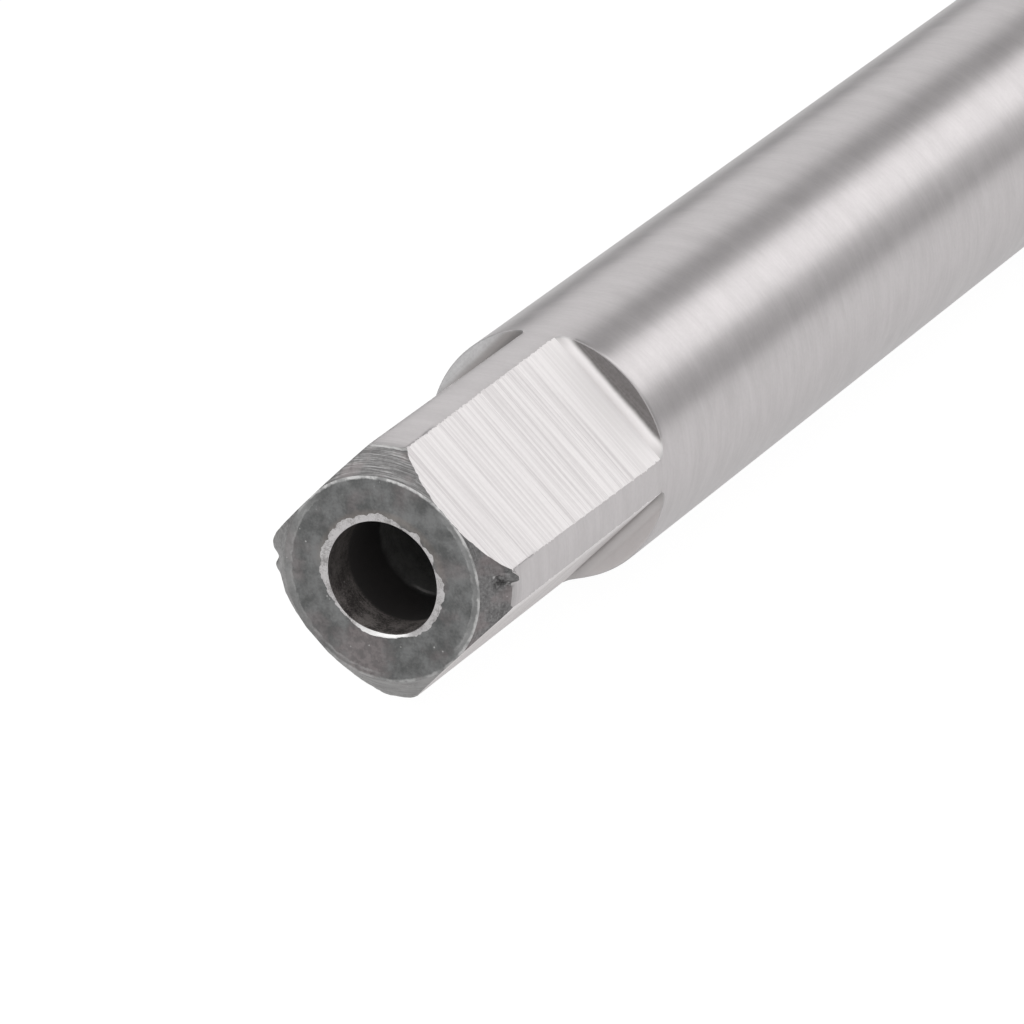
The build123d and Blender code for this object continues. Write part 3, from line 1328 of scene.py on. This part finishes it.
@dataclass(frozen=True)
class TurnedRings(Finish):
    """A turned surface with fine rings: the chamfer or the point."""

    dark: Shade = (0.14, 0.137, 0.137, 1)
    light: Shade = (0.29, 0.285, 0.285, 1)
    # Colour of the bright rim, which is partly wear and partly painted highlight, and of the glints and
    # scratches.
    edge: Shade = (0.56, 0.555, 0.55, 1)
    rubbed: Shade = (0.36, 0.355, 0.352, 1)
    pink: Shade = (0.25, 0.215, 0.215, 1)
    soot: Shade = (0.06, 0.058, 0.058, 1)
    soot_place: Point = (2.9, 0.29, 0.25)
    glints: tuple[tuple[Point, float], ...] = (
        ((3.04, 0.42, 0.2), 0.06), ((2.795, 0.24, 0.36), 0.06), ((2.93, 0.36, 0.12), 0.05),
    )
    edge_radius: float = 3.09
    fineness: float = 44.0
    drift: float = 1.3
    depth: float = 0.006
    roughness: Pair = (0.58, 0.42)
    ring_share: float = 0.4
    streaked_top: bool = False

    def dress(self, coat: Coat) -> None:
        """Feeds the shader from rings round the axis and a mottled ground.

        Args:
            coat: The material in the making.
        """
        rings = coat.lines(coat.radius, self.fineness, self.drift)["Fine"]
        mottle = coat.mottle(1.7)
        share = self.ring_share
        if self.streaked_top:
            share = abs(coat.up).stretch(0.2, 0.85, 0.08, 0.42)
        ground = mottle["Grain"] * 0.5 + mottle["Cloud"] * 0.5
        tone = ground + (rings.stretch(0.26, 0.74) - ground) * share
        colour = coat.blend(tone.stretch(0.3, 0.7), self.dark, self.light)
        if self.streaked_top:
            colour = self.streaked(coat, colour, tone, mottle["Grain"])
            scratched = rings.stretch(0.58, 0.68, 0, 0.5) * coat.up.stretch(0.5, 0.9)
            colour = coat.blend(scratched, colour, self.edge)
        # The bright rim at the outer edge is partly wear and partly painted highlight, strongest along the
        # top.
        rim = coat.rim(coat.radius, self.edge_radius, 0.035, 0.05)
        worn = (rim * coat.up.stretch(0.5, 0.95, 0.08, 0.85)).most(mottle["Speck"] * 0.5)
        colour = coat.blend(worn, colour, self.edge)
        coat.finish(colour, tone.stretch(0.3, 0.7, *self.roughness), tone, self.depth)

    def streaked(self, coat: Coat, colour: Signal, tone: Signal, grain: Signal) -> Signal:
        """The colour with the pink breath, the rubbed corners, the soot and the glints of the chamfer.

        Args:
            coat: The material in the making.
            colour: The colour so far.
            tone: The rings and patches under it.
            grain: The fine grain that makes the glints ragged.

        Returns:
            The new colour.
        """
        breath = coat.noise(coat.place, 1.7).stretch(0.48, 0.66, 0, 0.6) * coat.right.stretch(-0.8, -0.3)
        colour = coat.blend(breath, colour, self.pink)
        rub = coat.right.stretch(-0.95, -0.7, 0.55, 0).most(coat.up.stretch(-0.95, -0.7, 0.95, 0))
        rub = rub.most(coat.up.stretch(0.7, 0.95, 0, 0.3)) * tone.stretch(0.3, 0.6, 0.7, 1)
        colour = coat.blend(rub, colour, self.rubbed)
        crumbs = coat.noise(coat.place, 11).stretch(0.42, 0.58, 0, 0.8)
        sooty = coat.near(self.soot_place).stretch(0.1, 0.26, 1, 0) * crumbs
        colour = coat.blend(sooty, colour, self.soot)
        for centre, reach in self.glints:
            glint = (coat.near(centre) + grain.swing(reach)).stretch(reach * 0.4, reach, 0.9, 0)
            colour = coat.blend(glint, colour, self.edge)
        return colour


@dataclass(frozen=True)
class MilledRoot(Finish):
    """The wall where a flat ends, in painted light and shade: bright in the rounded root of the lens facing
    up and right, darker above, with a bright line along its arc that is partly wear and partly painted
    highlight.
    """

    # Painted light and shade, lens by lens: on the lens facing up and right, a near-white root and a dark
    # body for its dark reflection; a darker root on the other lenses; paler colours on the lower lenses.
    root: Shade = (1.0, 0.965, 0.962, 1)
    shaded_root: Shade = (0.35, 0.332, 0.328, 1)
    dark: Shade = (0.5, 0.496, 0.498, 1)
    light: Shade = (0.61, 0.606, 0.61, 1)
    lower: Shade = (0.64, 0.612, 0.607, 1)
    lower_root: Shade = (0.5, 0.478, 0.474, 1)
    painted_dark_reflection: Shade = (0.19, 0.181, 0.179, 1)
    painted_dark_reflection_pale: Shade = (0.25, 0.24, 0.238, 1)
    # The rim colour along the arc: partly wear, partly painted highlight.
    worn: Shade = (0.7, 0.69, 0.688, 1)
    root_height: Pair = (2.58, 2.72)
    shaded_height: Pair = (2.72, 2.97)
    lower_height: Pair = (2.55, 2.85)
    rim_radius: float = 3.14

    def dress(self, coat: Coat) -> None:
        """Feeds the shader from the height above the flat, the milling cutter's marks, and painted light
        and shade that differ from lens to lens.

        Args:
            coat: The material in the making.
        """
        mottle = coat.mottle(1.5)
        fine = coat.lines(coat.square, 16, 0.3)["Fine"]
        tone = fine * 0.3 + (mottle["Grain"] * 0.3 + mottle["Cloud"] * 0.4)
        wall = fine * 0.6 + mottle["Grain"] * 0.4
        corner = coat.up.least(coat.right)
        facing = corner.stretch(0.05, 0.3, 0, 0.94)
        upper = corner.stretch(0, 0.3)
        low = (coat.square + mottle["Cloud"].swing(0.06)).stretch(*self.root_height, 1, 0)
        wide = coat.square.stretch(*self.shaded_height, 1, 0)
        colour = coat.blend(tone.stretch(0.36, 0.64), self.dark, self.light)
        # The lens facing up and right is painted dark as a painted reflection, and its root is painted near
        # white as painted light. The other roots get painted shade.
        painted_dark_reflection = coat.blend(wall.stretch(0.36, 0.64), self.painted_dark_reflection, self.painted_dark_reflection_pale)
        colour = coat.blend(facing, colour, painted_dark_reflection)
        root = coat.blend(upper, self.shaded_root, self.root)
        colour = coat.blend(coat.blend(upper, wide, low), colour, root)
        # The lower lenses get their own paler colours: painted light for the way they face.
        below = coat.blend(coat.square.stretch(*self.lower_height, 1, 0), self.lower, self.lower_root)
        colour = coat.blend(coat.up.stretch(-0.4, 0, 1, 0), colour, below)
        # The bright line along the arc is partly wear and partly painted highlight. It is bright only on
        # the lens facing up and right.
        rim = coat.rim(coat.radius, self.rim_radius, 0.03, 0.03) * 0.6
        colour = coat.blend(rim, colour, coat.blend(facing, self.dark, self.worn))
        coat.set("Metallic", 1 - low * corner.stretch(0, 0.3, 0, 0.8))
        coat.finish(colour, tone.stretch(0.3, 0.7, 0.52, 0.38), tone, 0.003)


@dataclass(frozen=True)
class BrightLip(Finish):
    """The lip round the hole where the drill broke through: bare, bright and torn."""

    dark: Shade = (0.3, 0.287, 0.285, 1)
    light: Shade = (0.58, 0.565, 0.565, 1)
    # A near-white painted highlight along the bottom of the lip.
    painted_highlight: Shade = (0.95, 0.94, 0.935, 1)

    def dress(self, coat: Coat) -> None:
        """Feeds the shader from torn patches, smoother low down, where a near-white painted highlight lies
        along the bottom of the lip.

        Args:
            coat: The material in the making.
        """
        mottle = coat.mottle(3.2)
        tone = mottle["Grain"] * 0.4 + mottle["Cloud"] * 0.6
        torn = coat.up.stretch(-0.97, -0.8)
        colour = coat.blend(tone.stretch(0.34, 0.56), self.dark, self.light)
        # Along the bottom of the lip the colour is a near-white painted highlight.
        colour = coat.blend(torn, self.painted_highlight, colour)
        coat.set("Metallic", torn.stretch(0, 1, 0.4, 1))
        coat.finish(colour, torn.stretch(0, 1, 0.3, 0.42), tone * torn, 0.005)


@dataclass(frozen=True)
class DrilledWall(Finish):
    """The centre hole's wall: brownish near its mouth, painted dark further in as painted shade, and greyer
    again at the bottom as painted light.
    """

    dark: Shade = (0.06, 0.054, 0.052, 1)
    light: Shade = (0.3, 0.272, 0.262, 1)
    # Painted shade deep in the hole, and painted light, greyer again, at its bottom.
    deep: Shade = (0.06, 0.056, 0.056, 1)
    deepest: Shade = (0.24, 0.238, 0.236, 1)
    glint: Shade = (0.6, 0.59, 0.585, 1)
    lit_depth: float = 1.02
    grey_depth: float = 2.6

    def dress(self, coat: Coat) -> None:
        """Feeds the shader from the drill's marks and the depth.

        Args:
            coat: The material in the making.
        """
        rings = coat.lines(coat.along, 7, 1)["Fine"]
        mottle = coat.mottle(2.4)
        tone = rings * 0.15 + (mottle["Cloud"] * 0.5 + mottle["Grain"] * 0.35)
        colour = coat.blend(tone.stretch(0.38, 0.62), self.dark, self.light)
        colour = coat.blend(coat.up.stretch(-0.85, 0, 0, 0.6), colour, self.dark)
        colour = coat.blend(mottle["Speck"], colour, self.glint)
        # Past the lit depth the wall is painted dark, as painted shade deep in the hole. Near the bottom it
        # turns greyer again, as painted light where little light reaches.
        depth = coat.along + mottle["Cloud"].swing(0.25)
        grey = depth.stretch(self.grey_depth - 0.12, self.grey_depth + 0.12)
        deep = coat.blend(grey * tone.stretch(0.35, 0.6, 0.4, 1), self.deep, self.deepest)
        deep = coat.blend(self.ledge(coat), deep, self.glint)
        further = depth.stretch(self.lit_depth - 0.07, self.lit_depth + 0.07)
        coat.set("Metallic", 0.2)
        coat.set("Specular IOR Level", 0.3)
        coat.finish(coat.blend(further, colour, deep), tone.stretch(0.3, 0.7, 0.6, 0.45), tone, 0.012)

    def ledge(self, coat: Coat) -> Signal:
        """A painted highlight on a short ridge that the drill left low on the wall, where the grey begins.

        Args:
            coat: The material in the making.

        Returns:
            How bright each point is, from 0 to 1.
        """
        line = coat.rim(coat.along, self.grey_depth + 0.1, 0.09, 0.16)
        across = coat.right.stretch(-0.5, -0.34) * coat.right.stretch(-0.2, 0, 1, 0)
        return line * across * coat.up.stretch(-0.8, -0.6, 1, 0)


@dataclass(frozen=True)
class GroundFlute(Finish):
    """A flute ground along the tap."""

    dark: Shade = (0.46, 0.44, 0.442, 1)
    light: Shade = (0.6, 0.575, 0.577, 1)
    closeness: float = 26.0
    length_share: float = 0.16

    def dress(self, coat: Coat) -> None:
        """Feeds the shader from long grinding lines.

        Args:
            coat: The material in the making.
        """
        right, up = coat.right * self.closeness, coat.up * self.closeness
        where = coat.result("CombineXYZ", 0, {0: right, 1: coat.along * self.length_share, 2: up})
        mottle = coat.mottle(1.2)
        tone = mottle["Grain"] * 0.2 + coat.noise(where, 1, 3, 0.6) * 0.8
        colour = coat.blend(tone.stretch(0.34, 0.66), self.dark, self.light)
        coat.finish(colour, mottle["Cloud"].stretch(0.3, 0.7, 0.29, 0.33), tone, 0.0016)


def linked(name: str, data: bpy.types.ID) -> bpy.types.Object:
    """A new object with this data, put into the scene.

    Args:
        name: The object's name.
        data: Its mesh, lamp or camera.

    Returns:
        The object.
    """
    thing = bpy.data.objects.new(name, data)
    bpy.context.scene.collection.objects.link(thing)
    return thing


def panel(name: str, corners: Sequence[Point], material: bpy.types.Material) -> bpy.types.Object:
    """A flat four-sided piece of the stage, with its material.

    Args:
        name: The piece's name.
        corners: Its corners in order, in metres.
        material: Its material.

    Returns:
        The piece.
    """
    mesh = bpy.data.meshes.new(name)
    mesh.from_pydata(corners, [], [(0, 1, 2, 3)])
    mesh.materials.append(material)
    piece = linked(name, mesh)
    return piece


@dataclass
class MachineTap:
    """The whole tap, one piece of steel, dressed face by face."""

    name: str = "tap_body"
    node: str = "machine_tap"
    sharp_angle: float = 29.0
    driving_end: DrivingEnd = field(default_factory=DrivingEnd)
    cutting_end: CuttingEnd = field(default_factory=CuttingEnd)

    def finishes(self) -> dict[Surface, Finish]:
        """The finish of every surface.

        Returns:
            The finishes, by surface.
        """
        return {
            Surface.GROUND_SHANK: GroundSteel("ground_shank"),
            Surface.MILLED_FLAT: MilledSteel("milled_flat"),
            Surface.END_FACE: DarkFace("end_face"),
            Surface.TURNED_CHAMFER: TurnedRings("turned_chamfer", streaked_top=True),
            Surface.BROKEN_LIP: BrightLip("broken_lip"),
            Surface.DRILLED_HOLE: DrilledWall("drilled_hole"),
            Surface.SHOULDER: MilledRoot("shoulder"),
            Surface.FLUTE: GroundFlute("ground_flute"),
            Surface.THREAD: GroundSteel("ground_thread", fineness=15.0, drift=0.5, roughness=(0.22, 0.32)),
            Surface.TURNED_POINT: TurnedRings(
                "turned_point",
                dark=(0.4, 0.383, 0.384, 1),
                light=(0.56, 0.537, 0.538, 1),
                edge_radius=3.9,
                fineness=20.0,
                drift=0.5,
                depth=0.002,
                roughness=(0.48, 0.32),
            ),
        }

    def build(self) -> bpy.types.Object:
        """Builds and dresses the tap.

        Returns:
            The tap's object, riding on the root body in place of its solid.
        """
        skin = Skin()
        angles = self.driving_end.build(skin)
        self.cutting_end.build(skin, angles)
        mesh = skin.mesh(self.name, self.sharp_angle)
        marks = ToolMarks()
        finishes = self.finishes()
        for surface in Surface:
            mesh.materials.append(finishes[surface].material(marks))
        piece = linked(self.name, mesh)
        weighted = piece.modifiers.new("even_shading", "WEIGHTED_NORMAL")
        weighted.keep_sharp = True
        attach(piece, "root")
        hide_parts(self.node)
        return piece


@dataclass(frozen=True)
class Card:
    """A long grey card beside the tap, seen only by the metal.

    It stands round the tap from +X towards +Z, turned and spread in degrees, and its ends are in metres.
    """

    name: str
    turn: float
    spread: float
    grey: float
    ends: Pair
    distance: float = 0.5

    def corner(self, side: float, along: float) -> Point:
        """The place of one corner, in metres.

        Args:
            side: Which side of the card's middle it is on, as a share of the card.
            along: How far along the tap it is.

        Returns:
            The place.
        """
        angle = math.radians(self.turn + side * self.spread)
        height = AXIS_HEIGHT * MM + self.distance * math.sin(angle)
        return self.distance * math.cos(angle), along, height

    def build(self) -> None:
        """Builds the card."""
        start, stop = self.ends
        corners = [self.corner(-0.5, start), self.corner(0.5, start)]
        corners += [self.corner(0.5, stop), self.corner(-0.5, stop)]
        material = bpy.data.materials.new(self.name)
        wiring = Wiring(cleared(material))
        glow = wiring.result("Emission", 0, {"Color": (self.grey, self.grey, self.grey, 1), "Strength": 1})
        wiring.put("OutputMaterial", {0: glow})
        card = panel(self.name, corners, material)
        card.visible_camera = False
        card.visible_diffuse = False
        card.visible_transmission = False
        card.visible_shadow = False


@dataclass(frozen=True)
class Lamp:
    """A soft lamp turned towards the tap's square, with its place and size in metres and power in watts."""

    name: str
    place: Point
    size: Pair
    power: float
    target: Point = (0.0, -0.01, 0.003)

    def build(self) -> None:
        """Hangs the lamp."""
        lamp = bpy.data.lights.new(self.name, "AREA")
        lamp.shape = "RECTANGLE"
        lamp.size, lamp.size_y = self.size
        lamp.energy = self.power
        holder = linked(self.name, lamp)
        turn = (Vector(self.target) - Vector(self.place)).to_track_quat("-Z", "Y")
        holder.matrix_world = Matrix.Translation(self.place) @ turn.to_matrix().to_4x4()
        holder.visible_camera = False


@dataclass
class Studio:
    """Pale floor, soft lamps, grey cards that the metal mirrors, and the camera."""

    floor_size: float = 8.0
    floor_white: Shade = (0.82, 0.82, 0.82, 1)
    floor_glow: float = 1.1
    seen_glow_share: float = 0.86
    mirrored_glow_share: float = 0.575
    ambient: float = 0.8
    camera_place: Point = (0.0815881, -0.1851584, 0.0721031)
    camera_right: Point = (0.8915879, 0.4514801, -0.0351663)
    camera_down: Point = (0.1367704, -0.3424962, -0.9295107)
    camera_forward: Point = (-0.4316999, 0.8239308, -0.3671147)
    focal_length: float = 281.25
    sensor_width: float = 36.0
    cards: tuple[Card, ...] = (
        Card("card_top", 91.5, 32.0, 0.37, (-0.05, 1.6)),
        Card("card_top_front", 91.5, 32.0, 0.37, (-1.8, -0.6)),
        Card("card_right", 13.5, 40.0, 0.4, (-1.2, 1.6)),
        Card("card_left", 179.0, 35.0, 0.19, (-1.2, 1.6)),
    )
    lamps: tuple[Lamp, ...] = (
        Lamp("lamp_right", (0.226, 0.58, 0.352), (0.23, 0.7), 0.262),
        Lamp("lamp_left", (-0.45, -0.35, 0.6), (0.5, 0.5), 0.5),
        Lamp("lamp_front", (0.35, -0.75, 0.5), (0.5, 0.4), 0.4),
    )

    def build_world(self) -> None:
        """A white world, plain in strength on what it lights and full where a ray sees it."""
        world = bpy.data.worlds.new("studio")
        bpy.context.scene.world = world
        wiring = Wiring(cleared(world))
        rays = wiring.outputs("LightPath")
        seen = rays["Is Camera Ray"].most(rays["Is Glossy Ray"]).most(rays["Is Transmission Ray"])
        strength = seen.stretch(0, 1, self.ambient, 1)
        light = wiring.result("Background", 0, {"Color": (1, 1, 1, 1), "Strength": strength})
        wiring.put("OutputWorld", {0: light})

    def build_floor(self) -> None:
        """A pale floor that reads as white and keeps a soft shadow."""
        material = bpy.data.materials.new("pale_floor")
        wiring = Wiring(cleared(material))
        matt = wiring.result("BsdfDiffuse", 0, {"Color": self.floor_white})
        glow = wiring.result("Emission", 0, {"Strength": self.floor_glow})
        rays = wiring.outputs("LightPath")
        mirrored = rays["Is Glossy Ray"].most(rays["Is Transmission Ray"])
        share = rays["Is Camera Ray"] * self.seen_glow_share + mirrored * self.mirrored_glow_share
        wiring.put("OutputMaterial", {0: wiring.result("MixShader", 0, {0: share, 1: matt, 2: glow})})
        half = self.floor_size / 2
        panel("floor", [(-half, -half, 0), (half, -half, 0), (half, half, 0), (-half, half, 0)], material)

    def build_camera(self) -> None:
        """The camera at the photograph's viewing angle."""
        data = bpy.data.cameras.new("camera")
        data.sensor_width = self.sensor_width
        data.lens = self.focal_length
        data.clip_start = 0.01
        camera = linked("camera", data)
        axes = (Vector(self.camera_right), -Vector(self.camera_down), -Vector(self.camera_forward))
        turn = Matrix(axes).transposed().to_4x4()
        camera.matrix_world = Matrix.Translation(self.camera_place) @ turn
        bpy.context.scene.camera = camera

    def build(self) -> None:
        """Builds the whole studio."""
        bpy.context.scene.view_settings.view_transform = "Standard"
        self.build_world()
        self.build_floor()
        for thing in (*self.cards, *self.lamps):
            thing.build()
        self.build_camera()


def main() -> None:
    """Builds the tap and the studio, and reports the number of the tap's faces."""
    logging.basicConfig(level=logging.INFO, format="%(message)s")
    piece = MachineTap().build()
    log.info("%s: %d faces", piece.name, len(piece.data.polygons))
    Studio().build()


if __name__ == "__main__":
    main()
